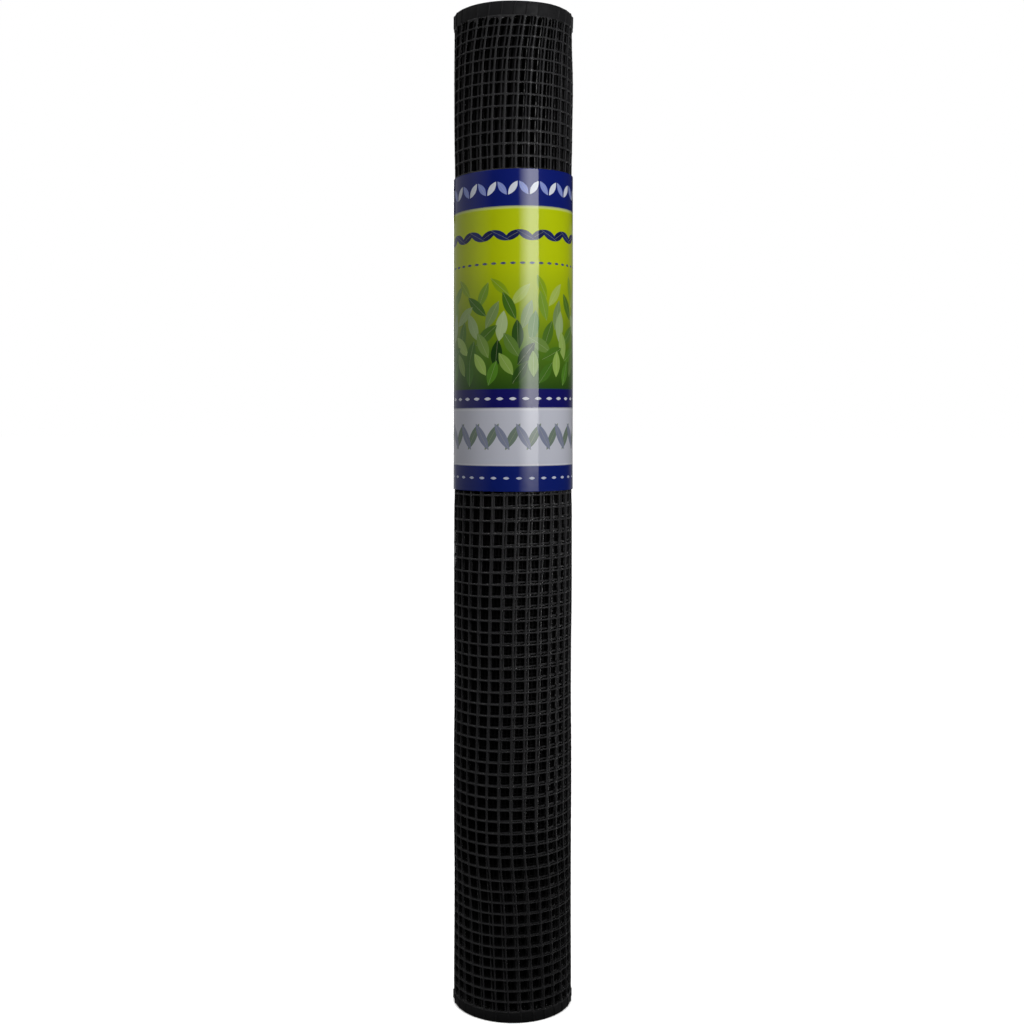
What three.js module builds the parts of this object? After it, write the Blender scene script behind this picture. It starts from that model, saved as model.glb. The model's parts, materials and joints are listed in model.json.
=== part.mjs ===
// A standing roll of black plastic garden mesh, held closed by a printed band.
// Millimetres, +Z up along the roll. The origin is the middle of the foot, and the front is -Y.
import * as THREE from "three";

// The net as it is cut, and how it is wound
const netWidth = 914; // stands as the height of the roll
const netLength = 4570;
const turnPitch = 1.6; // what one layer of net adds to the radius
const rollRadius = 55.6; // on the outermost layer, at its free end
const freeEndAngle = degrees(14); // just behind the right-hand side
const innerEndAngle = degrees(-130);
const boreRadius = Math.sqrt(rollRadius ** 2 - (netLength * turnPitch) / Math.PI);
const edgeStrip = 12; // the solid strip along both long edges of the net

// The outline is a little out of round, and the free end stands off near the top
const lobeCount = 3;
const lobeSwell = 0.25;
const lobeAngle = degrees(40);
const flapLift = 1.2;
const flapSpan = degrees(26); // from the free end back along its layer
const flapMiddle = 846;
const flapReach = 46; // up and down from its middle

// The printed band round the upper half
const bandFoot = 475;
const bandHeight = 288;
const bandThickness = 1;
const bandClearance = 0.3; // to the net, and between the band's lapped ends
const bandOverlap = degrees(22);
const bandLapRise = degrees(30); // before the lap, where the end starts to climb on to the start
const bandLapLevel = degrees(8); // and where it has its full height
const bandLapAngle = degrees(112); // at the back

// Sections up the roll: how far its outline stands out from the plain winding there
const blend = 3; // from one outline to the next at an edge strip or at the band
const sections = [
  { height: 0, swell: 0.3 },
  { height: edgeStrip, swell: 0.3 },
  { height: edgeStrip + blend, swell: -0.1 },
  { height: 80, swell: -0.6 },
  { height: 220, swell: 0 },
  { height: 300, swell: -0.5 },
  { height: 390, swell: 0.1 },
  { height: 455, swell: 0 },
  { height: bandFoot - blend, swell: -0.4 }, // drawn in by the band
  { height: bandFoot + bandHeight + blend, swell: -0.4 },
  { height: 790, swell: 0 },
  { height: flapMiddle - flapReach / 2, swell: 0.2 },
  { height: flapMiddle, swell: 0.2 },
  { height: flapMiddle + flapReach / 2, swell: 0.1 },
  { height: netWidth - edgeStrip - blend, swell: -0.1 },
  { height: netWidth - edgeStrip, swell: 0.3 },
  { height: netWidth, swell: 0.3 },
];

const outerSteps = 80; // round the outside and the band
const boreSteps = 48;
const fullTurn = 2 * Math.PI;

function degrees(angle) {
  return THREE.MathUtils.degToRad(angle);
}

// How far back along the winding an angle lies from the free end, from 0 to one turn
function turnedBack(angle) {
  return THREE.MathUtils.euclideanModulo(freeEndAngle - angle, fullTurn);
}

// The same for a point of the outline: at the step, its radius tells the free end from the layer below
function layerBack(angle, radius) {
  const back = turnedBack(angle);
  const atStep = Math.min(back, fullTurn - back) < fullTurn / outerSteps / 2;
  if (!atStep) return back;
  return radius > rollRadius - turnPitch / 2 ? 0 : fullTurn;
}

// The outside of the plain winding, one layer lower after each turn back from the free end
function windingRadius(back) {
  return rollRadius - (turnPitch * back) / fullTurn;
}

function lobes(angle) {
  return lobeSwell * Math.cos(lobeCount * (angle - lobeAngle));
}

function swellAt(height) {
  const next = Math.max(1, sections.findIndex((section) => section.height >= height));
  const low = sections[next - 1];
  const high = sections[next];
  const share = (height - low.height) / (high.height - low.height);
  return THREE.MathUtils.lerp(low.swell, high.swell, share);
}

// The lift of the free end, which fades back along its layer and up and down from its middle
function flapAt(back, height) {
  const along = Math.max(0, 1 - back / flapSpan);
  const away = Math.min(1, Math.abs(height - flapMiddle) / flapReach);
  return flapLift * along * Math.cos((away * Math.PI) / 2) ** 2;
}

function pointAt(radius, angle) {
  return new THREE.Vector2(radius * Math.cos(angle), radius * Math.sin(angle));
}

// An outline drawn straight up through the given heights, then shaped point by point
function raise(outline, heights, shape) {
  const geometry = new THREE.ExtrudeGeometry(outline, {
    depth: 1,
    steps: heights.length - 1,
    bevelEnabled: false,
  });
  const place = geometry.attributes.position;
  const point = new THREE.Vector3();
  for (let i = 0; i < place.count; i++) {
    point.fromBufferAttribute(place, i);
    point.z = heights[Math.round(point.z * (heights.length - 1))];
    shape(point);
    place.setXYZ(i, point.x, point.y, point.z);
  }
  geometry.computeVertexNormals();
  return geometry;
}

// The wound net: a spiral outside with a step at the free end, and a bore with one at the inner end
function netRoll() {
  const outside = [];
  for (let i = 0; i <= outerSteps; i++) {
    const back = (fullTurn * i) / outerSteps;
    const angle = freeEndAngle - back;
    outside.push(pointAt(windingRadius(back) + lobes(angle), angle));
  }
  const bore = [];
  for (let i = 0; i <= boreSteps; i++) {
    const turned = (fullTurn * i) / boreSteps;
    bore.push(pointAt(boreRadius + (turnPitch * turned) / fullTurn, innerEndAngle + turned));
  }
  const outline = new THREE.Shape(outside.reverse());
  outline.holes.push(new THREE.Path(bore.reverse()));
  const heights = sections.map((section) => section.height);
  return raise(outline, heights, (point) => {
    const radius = Math.hypot(point.x, point.y);
    const back = layerBack(Math.atan2(point.y, point.x), radius);
    const outward = radius > (rollRadius + boreRadius) / 2 ? 1 : 0;
    const grown = radius + outward * (swellAt(point.z) + flapAt(back, point.z));
    point.x *= grown / radius;
    point.y *= grown / radius;
  });
}

// The face of the roll that the band lies on: taut across the step at the free end
function seatRadius(angle) {
  const back = turnedBack(angle);
  const drawnIn = swellAt(bandFoot + bandHeight / 2);
  const lowest = rollRadius - turnPitch;
  const bridge = Math.acos(lowest / rollRadius);
  const past = fullTurn - back; // from the step on to the layer below
  const taut = past < bridge ? lowest / Math.cos(bridge - past) : 0;
  return Math.max(windingRadius(back), taut) + lobes(angle) + drawnIn;
}

// Even angles from one to just short of another
function spread(from, to) {
  const count = Math.round((outerSteps * (to - from)) / fullTurn);
  return Array.from({ length: count }, (_, i) => from + ((to - from) * i) / count);
}

// The band: one sheet wrapped round, with its end lapped over its start at the back
function printedBand() {
  const inside = [];
  const outside = [];
  const end = bandLapAngle + fullTurn + bandOverlap;
  const corner = freeEndAngle + fullTurn; // a point falls on the net's free end
  const climb = bandThickness + bandClearance;
  for (const angle of [...spread(bandLapAngle, corner), ...spread(corner, end), end]) {
    const along = angle - bandLapAngle;
    const lapped = THREE.MathUtils.smoothstep(along, fullTurn - bandLapRise, fullTurn - bandLapLevel);
    const radius = seatRadius(angle) + bandClearance + climb * lapped;
    inside.push(pointAt(radius, angle));
    outside.push(pointAt(radius + bandThickness, angle));
  }
  const outline = new THREE.Shape([...outside, ...inside.reverse()]);
  return raise(outline, [bandFoot, bandFoot + bandHeight], () => {});
}

function piece(name, geometry, colour, roughness) {
  const material = new THREE.MeshStandardMaterial({ color: colour, roughness, metalness: 0 });
  const mesh = new THREE.Mesh(geometry, material);
  mesh.name = name;
  return mesh;
}

const roll = new THREE.Group();
roll.add(piece("net_roll", netRoll(), 0x1c1c1e, 0.5));
roll.add(piece("label_band", printedBand(), 0x86b81f, 0.25));

export default roll;
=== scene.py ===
# A standing roll of black plastic garden mesh, wound in a spiral and held closed by a printed film band
import json
import math

import bmesh
import bpy
import numpy as np
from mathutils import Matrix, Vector, noise

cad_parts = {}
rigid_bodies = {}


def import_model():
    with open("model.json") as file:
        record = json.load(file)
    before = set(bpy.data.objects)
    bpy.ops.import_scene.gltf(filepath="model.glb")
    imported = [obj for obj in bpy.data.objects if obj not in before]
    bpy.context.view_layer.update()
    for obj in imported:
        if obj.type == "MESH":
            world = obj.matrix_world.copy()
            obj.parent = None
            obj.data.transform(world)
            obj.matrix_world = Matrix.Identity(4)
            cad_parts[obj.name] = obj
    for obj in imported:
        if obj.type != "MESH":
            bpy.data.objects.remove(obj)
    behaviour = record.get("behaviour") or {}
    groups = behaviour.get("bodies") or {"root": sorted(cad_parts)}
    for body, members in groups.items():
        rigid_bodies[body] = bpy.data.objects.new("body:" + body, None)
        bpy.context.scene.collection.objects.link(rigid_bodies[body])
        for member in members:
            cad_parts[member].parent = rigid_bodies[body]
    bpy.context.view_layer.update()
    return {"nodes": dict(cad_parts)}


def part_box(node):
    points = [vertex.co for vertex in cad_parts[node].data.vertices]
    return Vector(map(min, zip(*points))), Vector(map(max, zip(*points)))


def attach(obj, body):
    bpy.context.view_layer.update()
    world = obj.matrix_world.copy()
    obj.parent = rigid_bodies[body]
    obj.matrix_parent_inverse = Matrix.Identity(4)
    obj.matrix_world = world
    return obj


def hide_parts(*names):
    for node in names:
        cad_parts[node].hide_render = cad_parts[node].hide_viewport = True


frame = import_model()
rollLow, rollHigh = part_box("net_roll")
bandLow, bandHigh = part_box("label_band")
fullTurn = 2 * math.pi
print("frame loaded:", sorted(frame["nodes"]))


# Adds a node with its settings; inputs are given by name or index, as a value, as a socket to link,
# or as a node, which stands for its first output
def addNode(tree, kind, inputs=None, **settings):
    node = tree.nodes.new(kind)
    for name, value in settings.items():
        setattr(node, name, value)
    for key, value in (inputs or {}).items():
        if isinstance(value, bpy.types.Node):
            value = value.outputs[0]
        if isinstance(value, bpy.types.NodeSocket):
            tree.links.new(value, node.inputs[key])
        else:
            node.inputs[key].default_value = value
    return node


# An sRGB hex colour as linear RGBA
def linearColour(hexCode):
    shares = [int(hexCode[i:i + 2], 16) / 255 for i in (1, 3, 5)]
    return [c / 12.92 if c <= 0.04045 else ((c + 0.055) / 1.055) ** 2.4 for c in shares] + [1.0]


def newMesh(name, points, faces):
    mesh = bpy.data.meshes.new(name)
    mesh.from_pydata(points, [], faces)
    mesh.update()
    return mesh


def newObject(name, data):
    made = bpy.data.objects.new(name, data)
    bpy.context.scene.collection.objects.link(made)
    return made


def newMaterial(name):
    material = bpy.data.materials.new(name)
    material.use_nodes = True
    material.node_tree.nodes.clear()
    return material, material.node_tree


# Camera: level, opposite the front of the band, with the frame shifted down to take in the foot
view = {
    "distance": 1.277,  # from the roll's axis
    "height": 0.544,
    "lens": 48.1,
    "sensor": 36,
    "shiftX": -0.0007,
    "shiftY": -0.0952,
    "roll": math.radians(-0.05),
}

camera = newObject("camera", bpy.data.cameras.new("camera"))
camera.data.lens = view["lens"]
camera.data.sensor_width = view["sensor"]
camera.data.shift_x = view["shiftX"]
camera.data.shift_y = view["shiftY"]
camera.location = (0, -view["distance"], view["height"])
camera.rotation_euler = (math.pi / 2, view["roll"], 0)
bpy.context.scene.camera = camera
bpy.context.scene.view_settings.view_transform = "Standard"

# Studio: a softbox in front on the right that fades to its left and foot, a low one on the right for the
# roll's foot, a wide dim one on the left, three behind for the edges and the back, and a soft top light
studio = {
    "floorSize": 60.0,
    "floorColour": "#F2F2F0",
    "floorGlow": 0.92,  # a sheet lit from below, so that it looks white all over
    "floorRoughness": 0.9,
    "standing": 0.053,  # painted shadow: within this radius of the roll's axis the floor doesn't glow, under the roll and inside its bore
    "standingFade": 0.003,
    "backdrop": 1.0,  # what the camera sees past the floor
    "surround": 0.03,  # what the object is lit by from all round
    "topStrength": 0.7,
    "topSpread": math.radians(50),
    "topTilt": math.radians(45),
    "topTurn": math.radians(-72),  # it comes from the left in front
}
softboxes = [
    # name, degrees to the right of the camera, distance, middle height, width, height, radiance, spread,
    # and where it is dark and where it is full, in shares of its width and of its height
    ("key_softbox", 29, 0.8, 0.785, 0.57, 0.85, 3.5, 145, (0, 0.54), (0.04, 0.245)),
    ("low_softbox", 88, 0.6, 0.1, 0.4, 0.2, 2.4, 180, (0, 0.1), (1, 0.5)),
    ("left_softbox", -94, 1.15, 0.74, 3.0, 1.0, 0.26, 180, (1, 0.62), (0, 0.3)),
    ("left_rim_softbox", -158, 1.3, 0.45, 0.9, 0.9, 0.4, 180, (1, 0.5), (0, 0.1)),
    ("right_rim_softbox", 146, 1.3, 0.45, 0.9, 0.9, 0.15, 180, (0, 0.7), (0, 0.1)),
    ("back_softbox", 183, 1.2, 0.7, 0.6, 0.8, 2.4, 180, (0, 0.4), (0, 0.3)),
]


def makeStudio():
    scene = bpy.context.scene
    half = studio["floorSize"] / 2
    corners = [(-half, -half, 0), (half, -half, 0), (half, half, 0), (-half, half, 0)]
    floor = newObject("floor", newMesh("floor", corners, [(0, 1, 2, 3)]))
    material, tree = newMaterial("matt_paint_pale_grey")
    place = addNode(tree, "ShaderNodeTexCoord").outputs["Object"]
    away = addNode(tree, "ShaderNodeVectorMath", {0: place}, operation="LENGTH").outputs["Value"]
    # painted shadow: the floor's glow is cut off under the roll and in its bore, and fades in just past that
    # radius
    glow = addNode(tree, "ShaderNodeMapRange", {
        "Value": away,
        "From Min": studio["standing"],
        "From Max": studio["standing"] + studio["standingFade"],
        "To Max": studio["floorGlow"],
    })
    shader = addNode(tree, "ShaderNodeBsdfPrincipled", {
        "Base Color": linearColour(studio["floorColour"]),
        "Roughness": studio["floorRoughness"],
        "Emission Color": (1, 1, 1, 1),
        "Emission Strength": glow,
    })
    addNode(tree, "ShaderNodeOutputMaterial", {"Surface": shader})
    floor.data.materials.append(material)
    floor.visible_glossy = False  # throws no light back up: the roll grows darker towards its foot
    floor.visible_diffuse = False

    scene.world = bpy.data.worlds.new("studio")
    scene.world.use_nodes = True
    tree = scene.world.node_tree
    tree.nodes.clear()
    path = addNode(tree, "ShaderNodeLightPath")
    seen = addNode(tree, "ShaderNodeMix", {
        "Factor": path.outputs["Is Camera Ray"],
        "A": studio["surround"],
        "B": studio["backdrop"],
    })
    glow = addNode(tree, "ShaderNodeBackground", {"Color": (1, 1, 1, 1), "Strength": seen})
    addNode(tree, "ShaderNodeOutputWorld", {"Surface": glow})

    top = newObject("top_light", bpy.data.lights.new("top_light", "SUN"))
    top.data.energy = studio["topStrength"]
    top.data.angle = studio["topSpread"]
    top.rotation_euler = (studio["topTilt"], 0, studio["topTurn"])

    for name, turn, distance, middle, width, height, radiance, spread, across, upward in softboxes:
        light = bpy.data.lights.new(name, "AREA")
        light.shape = "RECTANGLE"
        light.size = width
        light.size_y = height
        light.spread = math.radians(spread)
        light.energy = radiance * math.pi * width * height
        light.use_nodes = True
        tree = light.node_tree
        tree.nodes.clear()
        spot = addNode(tree, "ShaderNodeNewGeometry").outputs["Parametric"]
        parts = addNode(tree, "ShaderNodeSeparateXYZ", {0: spot}).outputs
        strength = 1.0
        for place, (dark, full) in zip(parts, (across, upward)):
            fade = addNode(tree, "ShaderNodeMapRange", {"Value": place, "From Min": dark, "From Max": full})
            strength = addNode(tree, "ShaderNodeMath", {0: strength, 1: fade}, operation="MULTIPLY")
        emission = addNode(tree, "ShaderNodeEmission", {"Strength": strength})
        addNode(tree, "ShaderNodeOutputLight", {"Surface": emission})
        box = newObject(name, light)
        turn = math.radians(turn)
        box.location = (distance * math.sin(turn), -distance * math.cos(turn), middle)
        box.rotation_euler = (math.pi / 2, 0, turn)
        box.visible_camera = False
    print("studio:", len(softboxes), "softboxes")


# Extruded black polyethylene: grey with dust and scuffs on the outermost turn, with small shiny spots where
# the melt was pressed together at the crossings. The turns behind carry painted light and shade: the second
# turn is a lighter grey below the band, as painted light, and a darker, less glossy grey above it, as painted
# shade, and the turns inside the roll are painted deep black and matt, as painted shade
polyethylene = {
    # painted shade: the deep black of the turns inside the roll
    "deep_painted_shade": "#060607",
    # painted shade: the darker grey of the second turn above the band
    "second_turn_painted_shade": "#202022",
    "strip": "#151517",
    # painted light: the lighter grey of the second turn below the band
    "second_turn_painted_light": "#262628",
    "dusty": "#242426",
    "scuffed": "#2E2E30",
    "dustSize": 0.03,
    "dustSpan": (0.35, 0.75),  # of its noise, from dusty to scuffed
    "sheenSize": 0.006,  # patches of smoother and duller skin
    "sheenSpan": (0.3, 0.7),
    "roughness": (0.6, 0.8),
    "pressedSpan": (0.38, 0.52),  # of the same noise, from a dull crossing to a shiny one
    "glaze": 0.8,  # on a shiny crossing
    "glazeRoughness": 0.11,
    "skinSize": 0.0009,  # melt ripple, drawn coarser than the real 0.2 mm so that it shows
    "skinDepth": 0.0002,
    "skinStrength": 0.35,
    "bloomRoughness": 0.3,
    "ior": 1.53,
}
netFinishes = [
    # finish, shades mixed in from one number of turns back from the free end to another, specular,
    # and bloom: fine dust that shows at a slant
    # outermost turn: dust and scuffs; past one turn back the lighter grey of painted light, past two the
    # painted deep black shade
    ("dusty", [("second_turn_painted_light", 0.98, 1.1), ("deep_painted_shade", 2.0, 2.2)], 0.38, 0.4),
    # painted shade: the second turn above the band, darker and less glossy than the outermost turn
    ("second_turn_painted_shade", [("second_turn_painted_shade", 0.98, 1.1)], 0.25, 0.0),
    # painted shade: the turns inside the roll, deep black, matt and less glossy still
    ("deep_painted_shade", [("second_turn_painted_shade", 0.98, 1.1), ("deep_painted_shade", 1.9, 2.2)], 0.16, 0.0),
    # the strips: their own darker grey, and the painted deep black shade from one turn back on
    ("strip", [("strip", -0.1, 0.0), ("deep_painted_shade", 0.98, 1.1)], 0.25, 0.4),
]


def blackPolyethylene(finish, shades, specular, bloom):
    material, tree = newMaterial("polyethylene_extruded_black_" + finish)
    place = addNode(tree, "ShaderNodeTexCoord").outputs["Object"]
    dust = addNode(tree, "ShaderNodeTexNoise", {
        "Vector": place, "Scale": 1 / polyethylene["dustSize"], "Detail": 5.0, "Roughness": 0.6,
    })
    outside = addNode(tree, "ShaderNodeValToRGB", {"Fac": dust})
    stops = zip(outside.color_ramp.elements, polyethylene["dustSpan"], ("dusty", "scuffed"))
    for stop, position, shade in stops:
        stop.position = position
        stop.color = linearColour(polyethylene[shade])
    turns = addNode(tree, "ShaderNodeAttribute", attribute_name="turnsBack").outputs["Fac"]
    colour = outside
    for shade, start, end in shades:
        depth = addNode(tree, "ShaderNodeMapRange", {"Value": turns, "From Min": start, "From Max": end})
        colour = addNode(tree, "ShaderNodeMix", {
            0: depth, 6: colour, 7: linearColour(polyethylene[shade]),
        }, data_type="RGBA").outputs[2]
    sheen = addNode(tree, "ShaderNodeTexNoise", {
        "Vector": place, "Scale": 1 / polyethylene["sheenSize"], "Detail": 3.0,
    })
    low, high = polyethylene["sheenSpan"]
    smooth, dull = polyethylene["roughness"]
    roughness = addNode(tree, "ShaderNodeMapRange", {
        "Value": sheen, "From Min": low, "From Max": high, "To Min": smooth, "To Max": dull,
    })
    low, high = polyethylene["pressedSpan"]
    pressed = addNode(tree, "ShaderNodeMapRange", {
        "Value": sheen, "From Min": low, "From Max": high, "To Max": polyethylene["glaze"],
    })
    crossing = addNode(tree, "ShaderNodeAttribute", attribute_name="crossing").outputs["Fac"]
    glaze = addNode(tree, "ShaderNodeMath", {0: crossing, 1: pressed}, operation="MULTIPLY")
    skin = addNode(tree, "ShaderNodeTexNoise", {
        "Vector": place, "Scale": 1 / polyethylene["skinSize"], "Detail": 2.0,
    })
    bump = addNode(tree, "ShaderNodeBump", {
        "Height": skin, "Strength": polyethylene["skinStrength"], "Distance": polyethylene["skinDepth"],
    })
    shader = addNode(tree, "ShaderNodeBsdfPrincipled", {
        "Base Color": colour,
        "Roughness": roughness,
        "Normal": bump,
        "IOR": polyethylene["ior"],
        "Specular IOR Level": specular,
        "Sheen Weight": bloom,
        "Sheen Roughness": polyethylene["bloomRoughness"],
        "Coat Weight": glaze,
        "Coat Roughness": polyethylene["glazeRoughness"],
    })
    addNode(tree, "ShaderNodeOutputMaterial", {"Surface": shader})
    return material


# The net, flat: x runs back from the free end (negative), y up from the foot, z out from the roll
net = {
    "width": rollHigh[2] - rollLow[2],  # stands as the roll's height
    "length": 4.57,
    "outerRadius": 0.0556,  # on the strands of the outermost layer, at its free end
    "turnPitch": 0.0016,
    "freeEndAngle": math.radians(14),
    "cutEnd": 0.0055,  # from the cut across the net to the first upright
    "columnPitch": 0.01134,  # from one upright to the next
    "columnJitter": 0.00022,
    "rowPitch": 0.0109,
    "uprightWidth": 0.0019,
    "roundWidth": 0.0014,
    "thickness": 0.0014,
    "slimHeight": 0.14,  # below this the two outer turns have finer strands
    "slimShare": 0.8,
    "crossingRise": 1.2,  # strands are thicker where they cross
    "crossingSpan": (0.53, 0.65),  # in thicknesses out from the middle; a strip's ridge stands out further
    "holeFillet": 0.0009,
    "footStrip": 0.009,  # solid strip along the lower edge; the upper one takes what the rows leave
    "stripThickness": 0.0011,
    "stripReach": 0.0006,  # how far the strips run on under the rounds beside them
    "stripRidge": 0.0009,  # where the uprights run on through the strips
    "covered": 0.4,  # share of the net's face that is strand
    "cutCovered": 0.55,  # the same at the cut ends
    "stubSpan": (0.55, 1.0),  # lengths of the stubs there, in shares of the cut end
    "boreStart": 17,  # turns back from the free end, past which the net lines the bore
    "seed": 5,
}
rowZones = [
    # rows of holes from the foot up, and the pitch in each zone in mm
    (1, 9.1), (5, 9.69), (6, 9.93), (10, 10.57), (5, 10.43), (3, 10.63), (8, 10.78), (6, 11.58),
    (26, 11.675), (4, 11.25), (4, 10.7), (3, 9.93), (1, 8.9),
]
holeArches = [
    # holes beside the strips: fillet of the corners there, and how far the strip has run into the hole, in mm
    (2.0, 0.0), (2.8, 0.8), (1.6, -0.3), (3.4, 1.6),
]
leanCurve = [
    # height in mm, how far the uprights have drifted to the right there in mm
    (0, 5.4), (32, 4.0), (77, 2.1), (97, 1.3), (120, -0.3), (140, -2.2), (160, -3.65), (182, -4.25),
    (205, -4.4), (247, -3.65), (310, -2.45), (354, -2.1), (400, -1.0), (440, 0.15), (463, 0.7),
    (772, 0), (836, 1.75), (854, 2.7), (868, 3.65), (886, 6.1), (914, 10.4),
]
underCurve = [
    # height in mm, how much further the turns below have drifted in mm
    (0, 0.15), (75, 0.15), (115, 0.35), (165, 2.55), (220, 4.2), (275, 4.5), (354, 4.75), (463, 5.05),
    (772, -1.05), (914, -1.55),
]
swellCurve = [
    # height in mm, how far the roll stands out from the plain winding in mm
    (0, -0.4), (12, -0.4), (15, -0.4), (80, -0.6), (220, 0), (300, -0.5), (390, 0.1), (455, 0), (472, -0.4),
    (766, -0.4), (790, 0), (846, 0.2), (899, -0.1), (902, 0.3), (914, 0.3),
]
tiltCurve = [
    # height in mm, how far the rounds climb to the right-hand side in mm
    (0, 0), (9, 0), (30, 0.6), (70, 0.6), (130, 1.0), (195, 0.95), (257, 1.45), (300, 1.35), (351, 1.1),
    (400, 1.05), (445, 0.6), (763, 0.8), (797, 0.45), (813, 0.1), (845, -0.2), (877, 0), (914, 0),
]
heightCurves = {
    # the curve, and the height of its box either way
    "lean": (leanCurve, 0.014),
    "under": (underCurve, 0.014),
    "swell": (swellCurve, 0.001),
    "tilt": (tiltCurve, 0.003),
}
holeCorners = {
    # where a hole's corner has points, in quarter turns
    "round": (0, 0.5, 1),
    "cut": (0.5,),
}
strandRings = {
    # from the strands' crest to the hole's edge and to their back: share of the way, share of the thickness
    "fine": [(0, 1), (0.5, 0.87), (0.85, 0.53), (1, 0), (0, -1)],
    "plain": [(0, 1), (1, 0), (0, -1)],
}
bars = {
    # steps along, sides
    "rounds": (220, 4),
    "uprights": (14, 4),
    "endUprights": (84, 8),
    "stubs": (2, 8),
}

rng = np.random.default_rng(net["seed"])
rowHeights = np.concatenate([np.full(rows, pitch / 1000) for rows, pitch in rowZones])
rowEdges = net["footStrip"] + np.concatenate([[0], np.cumsum(rowHeights)])
rowCount = len(rowHeights)
holesHigh = float(rowEdges[-1] - rowEdges[0])
halfWay = float(rowEdges[0]) + holesHigh / 2
topStrip = net["width"] - float(rowEdges[-1])
columnCount = int((net["length"] - net["cutEnd"]) / net["columnPitch"])
columnEdges = -net["cutEnd"] - net["columnPitch"] * np.arange(columnCount + 1.0)
columnEdges[1:-1] += rng.normal(0, net["columnJitter"], columnCount - 1)
midRadius = net["outerRadius"] - net["thickness"] * net["crossingRise"] / 2


# The first column that lies wholly past a number of turns back from the free end
def columnPast(turns):
    run = math.pi * turns * (2 * midRadius - turns * net["turnPitch"])
    return min(columnCount, math.ceil((run - net["cutEnd"]) / net["columnPitch"]))


def runLength(columns):
    return float(columnEdges[columns[0]] - columnEdges[columns[1]])


# Faces between successive rings of points
def ringFaces(rings, count):
    faces = []
    for low in range(0, (rings - 1) * count, count):
        for i in range(count):
            j = (i + 1) % count
            faces.append((low + i, low + j, low + count + j, low + count + i))
    return faces


# One hole with half of each strand round it, 1 by 1 in the plane and real thickness
def holeCell(corners, rings, slim=1.0, archedSide=0, arch=0.0, runIn=0.0):
    cell = Vector((net["columnPitch"], net["rowPitch"]))
    hole = []
    crest = []
    rise = []
    for quarter, (right, up) in enumerate([(1, 1), (-1, 1), (-1, -1), (1, -1)]):
        plainHole = (1.0, net["holeFillet"], 0.0)
        ownHole = (slim, arch, runIn) if up == archedSide else (slim, net["holeFillet"], 0.0)
        for corner in corners:
            turn = (quarter + corner) * math.pi / 2
            swing = Vector((math.cos(turn), math.sin(turn)))
            spots = []
            for width, fillet, inset in (plainHole, ownHole):
                halfX = 0.5 - width * net["uprightWidth"] / cell.x / 2
                halfY = 0.5 - width * net["roundWidth"] / cell.y / 2
                x = right * (halfX - fillet / cell.x) + swing.x * fillet / cell.x
                y = up * (halfY - (fillet + inset) / cell.y) + swing.y * fillet / cell.y
                spots.append(Vector((x, y)))
            onSide = abs(swing.x) > 0.5
            onRound = abs(swing.y) > 0.5
            hole.append(spots[1])
            crest.append(Vector((right / 2 if onSide else spots[0].x, up / 2 if onRound else spots[0].y)))
            rise.append(net["crossingRise"] if onSide and onRound else 1)
    points = []
    for share, level in rings:
        for holePoint, crestPoint, swell in zip(hole, crest, rise):
            flat = crestPoint.lerp(holePoint, share)
            points.append((flat.x, flat.y, level * swell * net["thickness"] / 2))
    return points, ringFaces(len(rings), len(hole))


# The plain hole and the one between finer strands
def plainCells(rings):
    corners = holeCorners["round"]
    return [holeCell(corners, rings), holeCell(corners, rings, net["slimShare"])]


# These, then the ones beside the foot strip and the ones beside the top strip
def archedCells(rings):
    cells = plainCells(rings)
    for side, slim in ((-1, net["slimShare"]), (1, 1.0)):
        for arch, runIn in holeArches:
            cells.append(holeCell(holeCorners["round"], rings, slim, side, arch / 1000, runIn / 1000))
    return cells


# One column of a solid edge strip: a rounded section with a ridge at both sides, where the uprights run on
def stripUnit(height, flip):
    half = net["stripThickness"] / 2
    reach = net["stripReach"]
    section = [
        # height in the strip, out from its middle, share of the ridge
        (height + reach, 0.4 * half, 0), (height - reach, half, 1), (0.0012, half, 1),
        (0.0003, 0.7 * half, 0.6), (0, 0, 0), (0.0003, -0.7 * half, 0),
        (height - reach, -half, 0), (height + reach, -0.4 * half, 0),
    ]
    across = [
        # along the column, share of the ridge
        (-0.5, 1), (-0.475, 0.7), (-0.44, 0.1), (-0.42, 0), (-0.39, 0), (0, 0),
        (0.39, 0), (0.42, 0), (0.44, 0.1), (0.475, 0.7), (0.5, 1),
    ]
    points = []
    for x, ridge in across:
        for y, z, share in section:
            points.append((x, net["width"] - y if flip else y, z + share * ridge * net["stripRidge"]))
    faces = ringFaces(len(across), len(section))
    return points, [face[::-1] for face in faces] if flip else faces


# A bar along x or y, 1 long
def barUnit(alongX, steps, sides):
    width = net["roundWidth"] if alongX else net["uprightWidth"]
    points = []
    for step in range(steps + 1):
        run = step / steps - 0.5
        for side in range(sides):
            turn = fullTurn * side / sides
            across = width / 2 * math.cos(turn)
            out = net["thickness"] / 2 * math.sin(turn)
            points.append((run, across, out) if alongX else (across, run, out))
    faces = [tuple(range(sides))[::-1], tuple(range(steps * sides, (steps + 1) * sides))]
    faces += ringFaces(steps + 1, sides)
    return points, faces if alongX else [face[::-1] for face in faces]


# Units for one winding, in a collection that lists them in order
def unitSet(name, shapes):
    units = bpy.data.collections.new(name)
    for i, (points, faces) in enumerate(shapes):
        label = f"{name}_{i:02d}"
        units.objects.link(bpy.data.objects.new(label, newMesh(label, points, faces)))
    return units


def dropUnits(units):
    for unit in list(units.objects):
        mesh = unit.data
        bpy.data.objects.remove(unit)
        bpy.data.meshes.remove(mesh)
    bpy.data.collections.remove(units)


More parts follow.
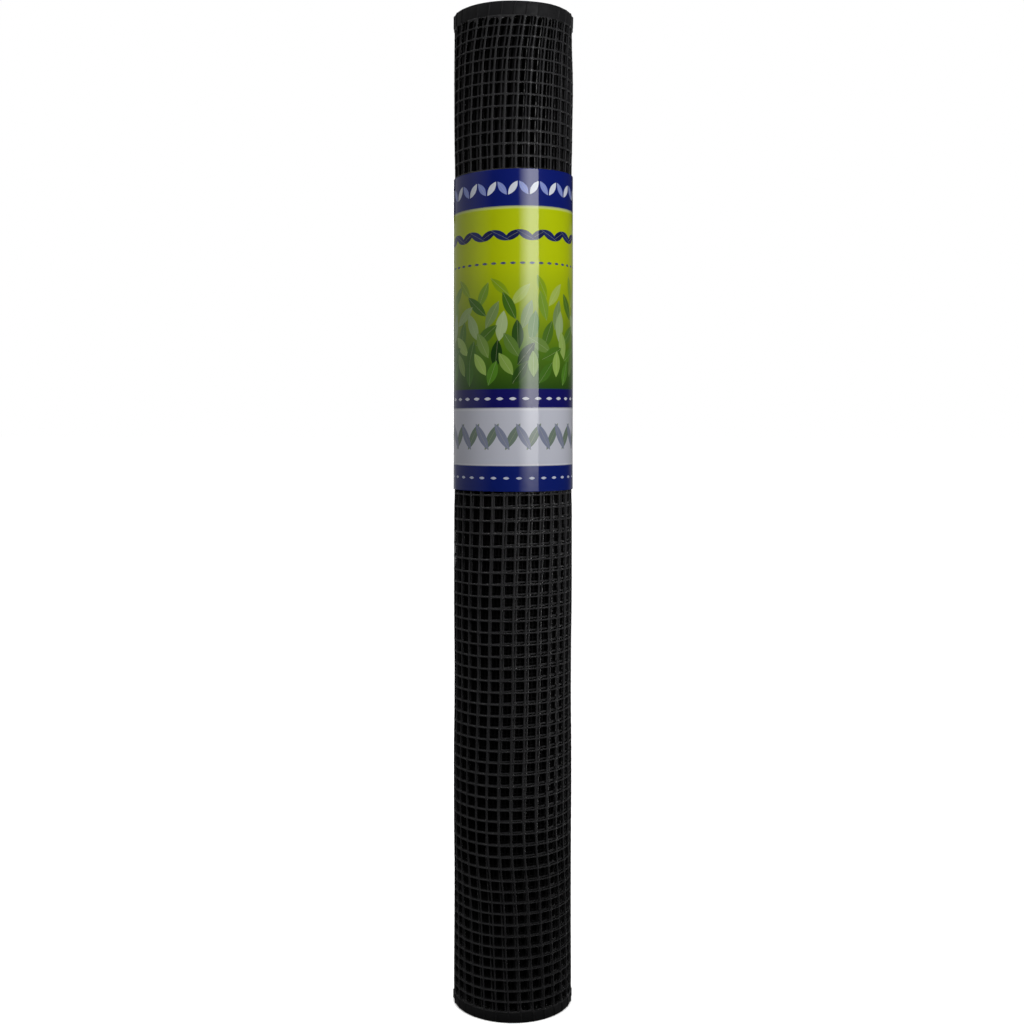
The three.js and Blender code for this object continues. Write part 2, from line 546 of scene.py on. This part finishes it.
# Sizes of the tree that lays units at their places in the flat net and winds the whole into the roll
windingSizes = {
    "Outer Radius": midRadius,
    "Turn Pitch": net["turnPitch"],
    "Free End Angle": net["freeEndAngle"],
    "Net Width": net["width"],
    "Lobe Count": 3.0,
    "Lobe Swell": 0.00025,
    "Lobe Angle": math.radians(40),
    "Flap Lift": 0.0012,  # the free end stands off near the top
    "Flap Span": math.radians(26),
    "Flap Middle": 0.846,
    "Flap Reach": 0.046,
    "Under Start": math.radians(200),  # where the turns below take up a drift of their own
    "Under End": math.radians(330),
    "Under Rise": 0.0024,  # of the second turn's rounds, on the right
    "Under Slope": 1.7,  # how fast it grows from the left to the right
    "Under Level": 0.8,  # its share in front
    "Under Twist": -0.007,  # a turn, so that the second turn's uprights keep beside the first turn's in front
    "Twist End": 2.0,  # turns back from the free end
    "Deep Start": 1.55,  # turns back, past which each turn drifts on and bows up or down
    "Deep Drift": 0.0078,
    "Deep Bow": 0.003,
    "Bow Rate": 2.4,  # radians a turn
    "Wobble": 0.0012,
    "Wobble Up": 0.5,  # shares of it
    "Wobble Out": 0.25,
    "Wobble Size": 0.045,
    "Edge Waver": 0.0018,
    "Waver Size": 0.081,
    "Seed": float(net["seed"]),
    "Weld Distance": 0.00004,
}
unitFacts = {"unitKind": "INT", "unitWidth": "FLOAT", "unitHeight": "FLOAT"}


def setCurve(node, table, reach):
    line = node.mapping.curves[0]
    for i, (height, value) in enumerate(table):
        spot = (height / 1000 / net["width"], 0.5 + value / 1000 / reach / 2)
        if i in (0, len(table) - 1):
            line.points[0 if i == 0 else -1].location = spot
        else:
            line.points.new(*spot)
    for point in line.points:
        point.handle_type = "AUTO_CLAMPED"
    node.mapping.update()


def makeWindingTree():
    tree = bpy.data.node_groups.new("windNet", "GeometryNodeTree")
    sockets = {"Places": "Geometry", "Units": "Collection", "Material": "Material"}
    sockets.update({"Map Low": "Vector", "Map Size": "Vector"})
    sockets.update({name: "Float" for name in windingSizes})
    for name, kind in sockets.items():
        tree.interface.new_socket(name, in_out="INPUT", socket_type="NodeSocket" + kind)
    tree.interface.new_socket("Net", in_out="OUTPUT", socket_type="NodeSocketGeometry")
    given = addNode(tree, "NodeGroupInput").outputs

    # units in their places, welded into one net
    units = addNode(tree, "GeometryNodeCollectionInfo", {
        "Collection": given["Units"], "Separate Children": True,
    })
    facts = {}
    for label, kind in unitFacts.items():
        facts[label] = addNode(tree, "GeometryNodeInputNamedAttribute", {"Name": label}, data_type=kind)
    scale = addNode(tree, "ShaderNodeCombineXYZ", {0: facts["unitWidth"], 1: facts["unitHeight"], 2: 1.0})
    laid = addNode(tree, "GeometryNodeInstanceOnPoints", {
        "Points": given["Places"],
        "Instance": units,
        "Pick Instance": True,
        "Instance Index": facts["unitKind"],
        "Scale": scale,
    })
    whole = addNode(tree, "GeometryNodeRealizeInstances", {"Geometry": laid})
    welded = addNode(tree, "GeometryNodeMergeByDistance", {
        "Geometry": whole, "Distance": given["Weld Distance"],
    })
    place = addNode(tree, "GeometryNodeInputPosition")
    fromLow = addNode(tree, "ShaderNodeVectorMath", {0: place, 1: given["Map Low"]}, operation="SUBTRACT")
    onMap = addNode(tree, "ShaderNodeVectorMath", {0: fromLow, 1: given["Map Size"]}, operation="DIVIDE")
    mapped = addNode(tree, "GeometryNodeStoreNamedAttribute", {
        "Geometry": welded, "Name": "OFBake", "Value": onMap,
    }, data_type="FLOAT2", domain="CORNER")

    # each result is a wire that the steps after it use by name
    parts = addNode(tree, "ShaderNodeSeparateXYZ", {0: place}).outputs
    wires = {"x": parts[0], "y": parts[1], "z": parts[2]}
    wires.update({name: given[name] for name in windingSizes})

    def work(steps):
        for name, operation, *sources in steps:
            inputs = {i: wires.get(source, source) for i, source in enumerate(sources)}
            wires[name] = addNode(tree, "ShaderNodeMath", inputs, operation=operation)

    work([("share", "DIVIDE", "y", "Net Width")])
    for name, (table, reach) in heightCurves.items():
        wires[name] = addNode(tree, "ShaderNodeFloatCurve", {"Value": wires["share"]})
        setCurve(wires[name], table, reach)
        work([
            (name, "SUBTRACT", name, 0.5),
            (name, "MULTIPLY", name, 2 * reach),
        ])
    flat = addNode(tree, "ShaderNodeCombineXYZ", {0: wires["x"], 1: wires["y"], 2: 0.0})
    for name, size in (("drift", "Wobble Size"), ("waver", "Waver Size")):
        work([("frequency", "DIVIDE", 1.0, size)])
        texture = addNode(tree, "ShaderNodeTexNoise", {
            "Vector": flat, "W": wires["Seed"], "Scale": wires["frequency"], "Detail": 2.0,
        }, noise_dimensions="4D")
        channels = addNode(tree, "ShaderNodeSeparateXYZ", {0: texture.outputs["Color"]}).outputs
        wires.update({name + str(i): channels[i] for i in range(3)})

    # the spiral: radius, and angle back from the free end, after a run of net
    def spiral(run, radius, back):
        work([
            (radius, "MULTIPLY_ADD", "layer", run, "square"),
            (radius, "SQRT", radius),
            (back, "SUBTRACT", "Outer Radius", radius),
            (back, "MULTIPLY", back, fullTurn),
            (back, "DIVIDE", back, "Turn Pitch"),
        ])

    work([
        ("layer", "MULTIPLY", "Turn Pitch", 1 / math.pi),  # what a metre of net takes off the radius squared
        ("square", "MULTIPLY", "Outer Radius", "Outer Radius"),
    ])
    spiral("x", "plainRadius", "plainBack")
    wires["below"] = addNode(tree, "ShaderNodeMapRange", {
        "Value": wires["plainBack"], "From Min": wires["Under Start"], "From Max": wires["Under End"],
    }, interpolation_type="SMOOTHSTEP")
    for name in ("drift0", "drift1", "drift2"):
        work([
            (name, "SUBTRACT", name, 0.5),
            (name, "MULTIPLY", name, "Wobble"),
        ])
    crossingLow, crossingHigh = [share * net["thickness"] for share in net["crossingSpan"]]
    work([
        ("crossing", "GREATER_THAN", "z", crossingLow),
        ("notRidge", "LESS_THAN", "z", crossingHigh),
        ("crossing", "MULTIPLY", "crossing", "notRidge"),
        # where the strands have drifted to in the flat net
        ("turnsBack", "DIVIDE", "plainBack", fullTurn),
        ("deep", "SUBTRACT", "turnsBack", "Deep Start"),
        ("deep", "MAXIMUM", "deep", 0.0),
        ("twist", "MINIMUM", "turnsBack", "Twist End"),
        ("twist", "SUBTRACT", "twist", "Deep Start"),
        ("under", "MULTIPLY_ADD", "twist", "Under Twist", "under"),
        ("under", "MULTIPLY", "under", "below"),
        ("right", "ADD", "x", "lean"),
        ("right", "ADD", "right", "under"),
        ("right", "MULTIPLY_ADD", "deep", "Deep Drift", "right"),
        ("right", "ADD", "right", "drift0"),
    ])
    spiral("right", "radius", "back")
    work([
        # out of round, and the free end's lift
        ("angle", "SUBTRACT", "Free End Angle", "back"),
        ("lobes", "SUBTRACT", "angle", "Lobe Angle"),
        ("lobes", "MULTIPLY", "lobes", "Lobe Count"),
        ("lobes", "COSINE", "lobes"),
        ("lobes", "MULTIPLY", "lobes", "Lobe Swell"),
        ("along", "DIVIDE", "back", "Flap Span"),
        ("along", "SUBTRACT", 1.0, "along"),
        ("along", "MAXIMUM", "along", 0.0),
        ("away", "SUBTRACT", "y", "Flap Middle"),
        ("away", "ABSOLUTE", "away"),
        ("away", "DIVIDE", "away", "Flap Reach"),
        ("away", "MINIMUM", "away", 1.0),
        ("away", "MULTIPLY", "away", math.pi / 2),
        ("away", "COSINE", "away"),
        ("flap", "MULTIPLY", "away", "away"),
        ("flap", "MULTIPLY", "flap", "along"),
        ("flap", "MULTIPLY", "flap", "Flap Lift"),
        ("drift2", "MULTIPLY", "drift2", "Wobble Out"),
    ])
    for part in ("z", "swell", "lobes", "flap", "drift2"):
        work([("radius", "ADD", "radius", part)])
    work([
        # rounds climb a little to the right, more so in the turns below, and the top edge wavers
        ("side", "ADD", "angle", math.pi / 2),
        ("side", "SINE", "side"),
        ("tilt", "MULTIPLY", "tilt", "side"),
        ("lift", "MULTIPLY_ADD", "side", "Under Slope", "Under Level"),
        ("lift", "MAXIMUM", "lift", 0.0),
        ("lift", "MINIMUM", "lift", 1.0),
        ("rise", "MULTIPLY", "below", "Under Rise"),
        ("rise", "MULTIPLY", "rise", "lift"),
        ("bow", "SUBTRACT", "deep", 1.0),
        ("bow", "MAXIMUM", "bow", 0.0),
        ("bow", "MULTIPLY", "bow", "Bow Rate"),
        ("bow", "SINE", "bow"),
        ("rise", "MULTIPLY_ADD", "bow", "Deep Bow", "rise"),
        ("rest", "SUBTRACT", 1.0, "share"),
        ("rise", "MULTIPLY", "rise", "rest"),
        ("rise", "MULTIPLY", "rise", "share"),
        ("rise", "MULTIPLY", "rise", 4.0),  # all of it half-way up, and none at the foot and the top
        ("drift1", "MULTIPLY", "drift1", "Wobble Up"),
        ("waver", "SUBTRACT", "waver0", 0.5),
        ("waver", "MULTIPLY", "waver", "Edge Waver"),
        ("waver", "MULTIPLY", "waver", "share"),
    ])
    wires["up"] = wires["y"]
    for part in ("tilt", "rise", "drift1", "waver"):
        work([("up", "ADD", "up", part)])
    work([
        ("up", "MAXIMUM", "up", 0.0),  # the foot stays flat on the floor
        ("cosine", "COSINE", "angle"),
        ("sine", "SINE", "angle"),
        ("east", "MULTIPLY", "radius", "cosine"),
        ("north", "MULTIPLY", "radius", "sine"),
    ])
    marked = mapped
    for label in ("turnsBack", "crossing"):
        marked = addNode(tree, "GeometryNodeStoreNamedAttribute", {
            "Geometry": marked, "Name": label, "Value": wires[label],
        }, data_type="FLOAT", domain="POINT")
    wound = addNode(tree, "ShaderNodeCombineXYZ", {0: wires["east"], 1: wires["north"], 2: wires["up"]})
    moved = addNode(tree, "GeometryNodeSetPosition", {"Geometry": marked, "Position": wound})
    smooth = addNode(tree, "GeometryNodeSetShadeSmooth", {"Geometry": moved})
    painted = addNode(tree, "GeometryNodeSetMaterial", {"Geometry": smooth, "Material": given["Material"]})
    addNode(tree, "NodeGroupOutput", {0: painted})
    return tree


# Lays a unit at each centre, winds the net and gives it back as a plain closed mesh
def wind(name, units, centres, sizes, material, kinds=None, bridged=False):
    centres = np.asarray(centres, float)
    sizes = np.asarray(sizes, float)
    piece = newObject(name, newMesh(name, centres.tolist(), []))
    facts = [np.asarray(kinds or [0] * len(centres), np.int32), sizes[:, 0].copy(), sizes[:, 1].copy()]
    for (label, kind), column in zip(unitFacts.items(), facts):
        piece.data.attributes.new(label, kind, "POINT").data.foreach_set("value", column)
    low = centres[:, :2].min(axis=0) - sizes.max(axis=0)
    high = centres[:, :2].max(axis=0) + sizes.max(axis=0)
    modifier = piece.modifiers.new("wind", "NODES")
    modifier.node_group = windingTree
    values = {
        "Units": units,
        "Material": material,
        "Map Low": (*low, -1.0),
        "Map Size": (*(high - low), 1.0),
        **windingSizes,
    }
    for item in windingTree.interface.items_tree:
        if item.item_type == "SOCKET" and item.in_out == "INPUT" and item.name in values:
            modifier[item.identifier] = values[item.name]
    graph = bpy.context.evaluated_depsgraph_get()
    made = bpy.data.meshes.new_from_object(
        piece.evaluated_get(graph), preserve_all_data_layers=True, depsgraph=graph,
    )
    piece.modifiers.clear()
    bare = piece.data
    piece.data = made
    bpy.data.meshes.remove(bare)
    made.name = name
    for label in unitFacts:
        if label in made.attributes:
            made.attributes.remove(made.attributes[label])
    shell = bmesh.new()
    shell.from_mesh(made)
    rim = [edge for edge in shell.edges if edge.is_boundary]
    if rim and bridged:
        bmesh.ops.bridge_loops(shell, edges=rim)
    elif rim:
        bmesh.ops.holes_fill(shell, edges=rim)
    bmesh.ops.recalc_face_normals(shell, faces=shell.faces)
    shell.to_mesh(made)
    shell.free()
    return piece


# Winds a block of holes; the units are the plain hole, the finer one and those arched at foot and top
def windCells(name, units, columns, rows, material):
    centres = []
    sizes = []
    kinds = []
    arches = len(units.objects) // 2 - 1  # at either edge; -1 where there is only the plain hole
    for column in range(*columns):
        near, far = columnEdges[column], columnEdges[column + 1]
        for row in range(*rows):
            low, high = rowEdges[row], rowEdges[row + 1]
            centres.append(((near + far) / 2, (low + high) / 2, 0))
            sizes.append((near - far, high - low))
            kind = 1 if arches >= 0 and high < net["slimHeight"] else 0
            if arches > 0 and row == 0:
                kind = 2 + int(rng.integers(arches))
            elif arches > 0 and row == rowCount - 1:
                kind = 2 + arches + int(rng.integers(arches))
            kinds.append(kind)
    return wind(name, units, centres, sizes, material, kinds, bridged=True)


def joinPieces(name, pieces):
    with bpy.context.temp_override(active_object=pieces[0], selected_editable_objects=pieces):
        bpy.ops.object.join()
    pieces[0].name = name
    pieces[0].data.name = name
    return pieces[0]


def dressNet(piece):
    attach(piece, "root")
    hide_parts("net_roll")
    print(piece.name, "has", len(piece.data.polygons), "faces")


# Plain bars along the net or up it, one at each place
def windBars(name, alongX, places, lengths, material):
    units = unitSet(name + "Bar", [barUnit(alongX, *bars[name])])
    sizes = [(length, 1) if alongX else (1, length) for length in lengths]
    piece = wind(name, units, places, sizes, material)
    dropUnits(units)
    return piece


# The turns that show are nets of holes; those buried between them are plain bars
def makeTurns():
    fine = unitSet("fineCell", archedCells(strandRings["fine"]))
    plain = unitSet("plainCell", plainCells(strandRings["plain"]))
    rough = unitSet("roughCell", [holeCell(holeCorners["cut"], strandRings["plain"])])
    outer = (0, columnPast(1))
    second = (outer[1], columnPast(2))
    third = (second[1], columnPast(3))
    bore = (columnPast(net["boreStart"]), columnCount)
    inner = (third[1], bore[0])
    bandFoot = int(np.searchsorted(rowEdges, bandLow[2])) + 1
    bandTop = int(np.searchsorted(rowEdges, bandHigh[2])) - 2
    blocks = [
        # name, units, columns, rows, finish
        ("net_outer_turn_low", fine, outer, (0, bandFoot), "dusty"),
        ("net_outer_turn_under_band", plain, outer, (bandFoot, bandTop), "dusty"),
        ("net_outer_turn_high", fine, outer, (bandTop, rowCount), "dusty"),
        # the second turn is lighter below the band, as painted light, and darker above it, as painted shade;
        # the turns further in are painted deep black, as shade
        ("net_second_turn_low", plain, second, (0, bandFoot), "dusty"),
        ("net_second_turn_high", plain, second, (bandFoot, rowCount), "second_turn_painted_shade"),
        ("net_third_turn", rough, third, (0, rowCount), "deep_painted_shade"),
        ("net_bore_turn", rough, bore, (0, rowCount), "deep_painted_shade"),
    ]
    for name, units, columns, rows, finish in blocks:
        piece = windCells(name, units, columns, rows, netBlack[finish])
        dressNet(piece)
    for units in (fine, plain, rough):
        dropUnits(units)

    run = runLength(inner)
    middle = float(columnEdges[inner[0]] + columnEdges[inner[1]]) / 2
    places = [(middle, y, 0) for y in rowEdges[1:-1]]
    # the plain bars of the turns inside the roll take the painted deep black shade
    rounds = windBars("rounds", True, places, [run] * len(places), netBlack["deep_painted_shade"])
    places = [(x, halfWay, 0) for x in columnEdges[inner[0]:inner[1]]]
    uprights = windBars("uprights", False, places, [holesHigh] * len(places), netBlack["deep_painted_shade"])
    dressNet(joinPieces("net_inner_turns", [rounds, uprights]))


# Where the net was cut across: the last upright at both ends, and stubs of the rounds past it
def makeCutEnds():
    ends = [float(columnEdges[0]), float(columnEdges[-1])]
    places = [(x, halfWay, 0) for x in ends]
    uprights = windBars("endUprights", False, places, [holesHigh] * len(places), netBlack["dusty"])
    places = []
    lengths = []
    for x, way in zip(ends, (1, -1)):
        for y in rowEdges[1:-1]:
            length = net["cutEnd"] * rng.uniform(*net["stubSpan"])
            places.append((x + way * length / 2, y, 0))
            lengths.append(length)
    stubs = windBars("stubs", True, places, lengths, netBlack["dusty"])
    dressNet(joinPieces("net_cut_ends", [uprights, stubs]))


# The solid strips along the net's two long edges
def makeStrips():
    edges = np.concatenate([[0.0], columnEdges, [-net["length"]]])
    centres = [((near + far) / 2, 0, 0) for near, far in zip(edges, edges[1:])]
    sizes = [(near - far, 1) for near, far in zip(edges, edges[1:])]
    strips = []
    for name, height, flip in (("foot", net["footStrip"], False), ("top", topStrip, True)):
        units = unitSet(name + "Strip", [stripUnit(height, flip)])
        strips.append(wind(name, units, centres, sizes, netBlack["strip"]))
        dropUnits(units)
    dressNet(joinPieces("net_edge_strips", strips))


# The band: a glossy printed film, pulled taut round the net and lapped on itself at the back
film = {
    "foot": bandLow[2],
    "height": bandHigh[2] - bandLow[2],
    "thickness": 0.0004,
    "standOff": 0.0006,  # from the strands to the film's inner face
    "lapAngle": math.radians(112),
    "overlap": math.radians(22),
    "lapRise": math.radians(30),
    "lapLevel": math.radians(8),
    "lapGap": 0.0001,
    "drawnIn": -0.0004,
    "askew": (0.0017, -0.0006),  # how far the upper edge climbs to the right and to the back
    "wave": 0.00022,
    "waveSize": 0.07,
    "stepAlong": 0.0025,
    "stepUp": 0.006,
    "edgeStep": 0.0003,  # a narrow row along the edges, so that the film stays flat up to them
    "printMiddle": 1.5 * math.pi,  # the angle from which the print runs both ways, in front
    "printMap": (0.0, 0.88),  # start and width of the printed face in the bake map, and of the back
    "backMap": (0.9, 0.1),
}
filmRadius = net["outerRadius"] + film["standOff"]


# The face that the film lies on: the outer layer of the net, bridged straight across its free end
def seatRadius(angle):
    outside = net["outerRadius"]
    back = (net["freeEndAngle"] - angle) % fullTurn
    lowest = outside - net["turnPitch"]
    bridge = math.acos(lowest / outside)
    past = fullTurn - back
    taut = lowest / math.cos(bridge - past) if past < bridge else 0
    winding = outside - net["turnPitch"] * back / fullTurn
    lobes = math.cos(windingSizes["Lobe Count"] * (angle - windingSizes["Lobe Angle"]))
    return max(winding, taut) + windingSizes["Lobe Swell"] * lobes + film["drawnIn"]


def smoothStep(value, low, high):
    share = min(1.0, max(0.0, (value - low) / (high - low)))
    return share * share * (3 - 2 * share)


# Even steps from 0 to a length, with a narrow one at both ends
def edgedSteps(length, step):
    even = np.linspace(0, length, round(length / step) + 1)
    return [0.0, film["edgeStep"], *even[1:-1].tolist(), length - film["edgeStep"], length]


def makeFilm():
    length = (fullTurn + film["overlap"]) * filmRadius
    alongs = edgedSteps(length, film["stepAlong"])
    ups = edgedSteps(film["height"], film["stepUp"])
    climb = film["thickness"] + film["lapGap"]
    points = []
    places = []
    for along in alongs:
        turned = along / filmRadius
        angle = film["lapAngle"] + turned
        lapped = smoothStep(turned, fullTurn - film["lapRise"], fullTurn - film["lapLevel"])
        base = seatRadius(angle) + film["standOff"] + climb * lapped
        askew = film["askew"][0] * math.cos(angle) + film["askew"][1] * math.sin(angle)
        # a ring of points: up the back (1) and down the printed face (0)
        for up, face in [(up, 1) for up in ups] + [(up, 0) for up in reversed(ups)]:
            spot = Vector((math.cos(angle), math.sin(angle), up / filmRadius)) * filmRadius
            wave = film["wave"] * noise.noise(spot / film["waveSize"])
            radius = base + film["thickness"] * (1 - face) + wave
            height = film["foot"] + up * (1 + askew / film["height"])
            points.append((radius * math.cos(angle), radius * math.sin(angle), height))
            places.append(((angle - film["printMiddle"]) * filmRadius * 1000, up * 1000, face))
    count = 2 * len(ups)
    faces = ringFaces(len(alongs), count)
    for i in range(len(ups) - 1):
        cap = (i, count - 1 - i, count - 2 - i, i + 1)
        faces.append(cap)
        faces.append([len(points) - count + corner for corner in reversed(cap)])
    mesh = newMesh("label_film", points, faces)
    piece = newObject("label_film", mesh)
    printPlace = mesh.attributes.new("printPlace", "FLOAT_VECTOR", "POINT")
    printPlace.data.foreach_set("vector", np.ravel(places))
    bakeMap = mesh.uv_layers.new(name="OFBake")
    for loop in mesh.loops:
        along, up, face = places[loop.vertex_index]
        share = (along - places[0][0]) / length / 1000
        start, span = film["backMap"] if face else film["printMap"]
        bakeMap.uv[loop.index].vector = (start + span * share, up / film["height"] / 1000)
    mesh.materials.append(printedFilm())
    mesh.materials.append(plainFilm())
    for polygon in mesh.polygons:
        polygon.use_smooth = True
        polygon.material_index = max(places[corner][2] for corner in polygon.vertices)
    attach(piece, "root")
    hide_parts("label_band")
    print("label_film has", len(mesh.polygons), "faces")


# Gloss-laminated print: flat ink colours under a clear wet-looking coat
laminate = {
    "inkRoughness": 0.5,
    "inkSpecular": 0.05,
    "coatRoughness": 0.06,
    "ior": 1.5,
    "rippleSize": 22,  # in mm, as the print's places are
    "rippleDepth": 0.0006,
    "rippleStrength": 0.2,
    "leafEdge": 2,  # how sharply a leaf ends
    "midrib": "#E2E8B8",
    "midribShare": 0.5,  # of its colour in the ink
    "midribEdge": 1.4,
    "rowKey": 7.3,  # keeps the chances of one row apart from another's
}
filmZones = [
    # mm up from the film's foot, colour there; a pair close together is an edge
    (0, "#0A2076"), (23, "#0A2076"), (23.2, "#EEF0F6"), (24.2, "#EEF0F6"), (24.4, "#D6D8E4"),
    (73, "#D6D8E4"), (73.2, "#EEF0F6"), (74.2, "#EEF0F6"), (74.4, "#15146A"), (92, "#15146A"),
    (92.2, "#2E5214"), (125, "#557E16"), (175, "#A6BA0A"), (205, "#C2D204"), (253, "#C2D204"),
    (253.2, "#DCE68C"), (254.2, "#DCE68C"), (254.4, "#0A1C74"), (288, "#0A1C74"),
]
leafRows = [
    # mm up, repeats round, shift in repeats, turn and play in degrees, length and width in mm, inks
    (271, 18, 0.0, 35, 0, 15, 6, "#E4E8F4"),
    (271, 18, 0.5, -35, 0, 15, 6, "#8C9ADC"),
    (229, 15, 0.0, 62, 0, 20, 7.5, "#141C50"),
    (229, 15, 0.5, -62, 0, 20, 7.5, "#1E2A66"),
    (204, 40, 0.0, 90, 0, 6, 2.4, "#26387A"),
    (183, 9, 0.3, -24, 60, 24, 8, "#86A614", "#B4CC3A"),
    (176, 10, 0.8, 28, 60, 26, 9, "#6A9418", "#CCDC70"),
    (166, 11, 0.1, -34, 60, 28, 10, "#446E18", "#9EC23C"),
    (158, 11, 0.6, 30, 60, 28, 10, "#305616", "#B6D084"),
    (148, 12, 0.35, -18, 70, 28, 11, "#4E801C", "#D2E2AA"),
    (140, 12, 0.85, 22, 70, 28, 11, "#284C16", "#88B838"),
    (131, 13, 0.05, -36, 70, 26, 11, "#3A6618", "#BAD870"),
    (123, 13, 0.55, 34, 70, 26, 11, "#1E4012", "#74A82C"),
    (114, 14, 0.25, -20, 80, 24, 10, "#2C5616", "#A8CA60"),
    (106, 14, 0.75, 24, 80, 24, 10, "#1A3810", "#60962A"),
    (83, 30, 0.0, 90, 0, 7, 3, "#E6E8F4"),
    (49, 18, 0.0, 30, 0, 28, 8, "#7A8A7C"),
    (49, 18, 0.5, -30, 0, 28, 8, "#8C92AA"),
    (12, 30, 0.5, 90, 0, 6, 2.6, "#D2D8F0"),
]


# Prints one row of leaves over a colour: each leaf is a pointed oval with a pale midrib
def printLeaves(tree, colour, along, height, row):
    up, repeats, shift, turn, play, length, width, *inks = row
    repeat = fullTurn * filmRadius * 1000 / repeats
    run = addNode(tree, "ShaderNodeMath", {0: along, 1: 1 / repeat, 2: shift + 0.5}, operation="MULTIPLY_ADD")
    leafNumber = addNode(tree, "ShaderNodeMath", {0: run}, operation="FLOOR")
    key = addNode(tree, "ShaderNodeMath", {0: leafNumber, 1: up * laminate["rowKey"]}, operation="ADD")
    chance = addNode(tree, "ShaderNodeTexWhiteNoise", {"W": key}, noise_dimensions="1D")
    chances = addNode(tree, "ShaderNodeSeparateXYZ", {0: chance.outputs["Color"]}).outputs
    share = addNode(tree, "ShaderNodeMath", {0: run}, operation="FRACT")
    across = addNode(tree, "ShaderNodeMath", {0: share, 1: repeat, 2: -repeat / 2}, operation="MULTIPLY_ADD")
    swing = addNode(tree, "ShaderNodeMath", {
        0: chances[0], 1: math.radians(play), 2: -math.radians(turn + play / 2),
    }, operation="MULTIPLY_ADD")
    leaf = addNode(tree, "ShaderNodeMapping", {
        "Vector": addNode(tree, "ShaderNodeCombineXYZ", {0: across, 1: height}),
        "Location": (0, up, 0),
        "Rotation": addNode(tree, "ShaderNodeCombineXYZ", {2: swing}),
        "Scale": (width / 2, length / 2, 1),
    }, vector_type="TEXTURE")
    local = addNode(tree, "ShaderNodeSeparateXYZ", {0: leaf}).outputs
    side = addNode(tree, "ShaderNodeMath", {0: local[0]}, operation="ABSOLUTE")
    bow = addNode(tree, "ShaderNodeMath", {0: local[1], 1: local[1], 2: side}, operation="MULTIPLY_ADD")
    inside = addNode(tree, "ShaderNodeMath", {
        0: bow, 1: -laminate["leafEdge"] * width, 2: laminate["leafEdge"] * width,
    }, operation="MULTIPLY_ADD", use_clamp=True)
    rib = addNode(tree, "ShaderNodeMath", {
        0: side, 1: -laminate["midribEdge"] * width, 2: laminate["midribShare"],
    }, operation="MULTIPLY_ADD", use_clamp=True)
    inked = addNode(tree, "ShaderNodeMix", {
        0: chances[1], 6: linearColour(inks[0]), 7: linearColour(inks[-1]),
    }, data_type="RGBA").outputs[2]
    ribbed = addNode(tree, "ShaderNodeMix", {
        0: rib, 6: inked, 7: linearColour(laminate["midrib"]),
    }, data_type="RGBA").outputs[2]
    return addNode(tree, "ShaderNodeMix", {0: inside, 6: colour, 7: ribbed}, data_type="RGBA").outputs[2]


def printedFilm():
    material, tree = newMaterial("film_gloss_laminated_print")
    place = addNode(tree, "ShaderNodeAttribute", attribute_name="printPlace").outputs["Vector"]
    parts = addNode(tree, "ShaderNodeSeparateXYZ", {0: place}).outputs
    share = addNode(tree, "ShaderNodeMath", {0: parts[1], 1: film["height"] * 1000}, operation="DIVIDE")
    zones = addNode(tree, "ShaderNodeValToRGB", {"Fac": share})
    while len(zones.color_ramp.elements) < len(filmZones):
        zones.color_ramp.elements.new(0.999)  # moved to its place below
    for element, (start, colour) in zip(zones.color_ramp.elements, filmZones):
        element.position = start / 1000 / film["height"]
        element.color = linearColour(colour)
    colour = zones
    for row in leafRows:
        colour = printLeaves(tree, colour, parts[0], parts[1], row)
    ripple = addNode(tree, "ShaderNodeTexNoise", {
        "Vector": place, "Scale": 1 / laminate["rippleSize"], "Detail": 2.0,
    })
    bump = addNode(tree, "ShaderNodeBump", {
        "Height": ripple, "Strength": laminate["rippleStrength"], "Distance": laminate["rippleDepth"],
    })
    shader = addNode(tree, "ShaderNodeBsdfPrincipled", {
        "Base Color": colour,
        "Roughness": laminate["inkRoughness"],
        "IOR": laminate["ior"],
        "Specular IOR Level": laminate["inkSpecular"],
        "Coat Weight": 1.0,
        "Coat Roughness": laminate["coatRoughness"],
        "Normal": bump,
        "Coat Normal": bump,
    })
    addNode(tree, "ShaderNodeOutputMaterial", {"Surface": shader})
    return material


# The film's unprinted back: milky white polypropylene
backFilm = {
    "milky": "#B8B8B6",
    "paler": "#CACAC8",
    "cloudSize": 0.02,
    "roughness": 0.4,
    "ior": 1.49,
}


def plainFilm():
    material, tree = newMaterial("film_polypropylene_white")
    place = addNode(tree, "ShaderNodeTexCoord").outputs["Object"]
    cloud = addNode(tree, "ShaderNodeTexNoise", {
        "Vector": place, "Scale": 1 / backFilm["cloudSize"], "Detail": 3.0,
    })
    colour = addNode(tree, "ShaderNodeMix", {
        0: cloud, 6: linearColour(backFilm["milky"]), 7: linearColour(backFilm["paler"]),
    }, data_type="RGBA")
    shader = addNode(tree, "ShaderNodeBsdfPrincipled", {
        "Base Color": colour.outputs[2], "Roughness": backFilm["roughness"], "IOR": backFilm["ior"],
    })
    addNode(tree, "ShaderNodeOutputMaterial", {"Surface": shader})
    return material


makeStudio()
netBlack = {}
for finish, shades, specular, bloom in netFinishes:
    netBlack[finish] = blackPolyethylene(finish, shades, specular, bloom)
windingTree = makeWindingTree()
makeTurns()
makeCutEnds()
makeStrips()
makeFilm()
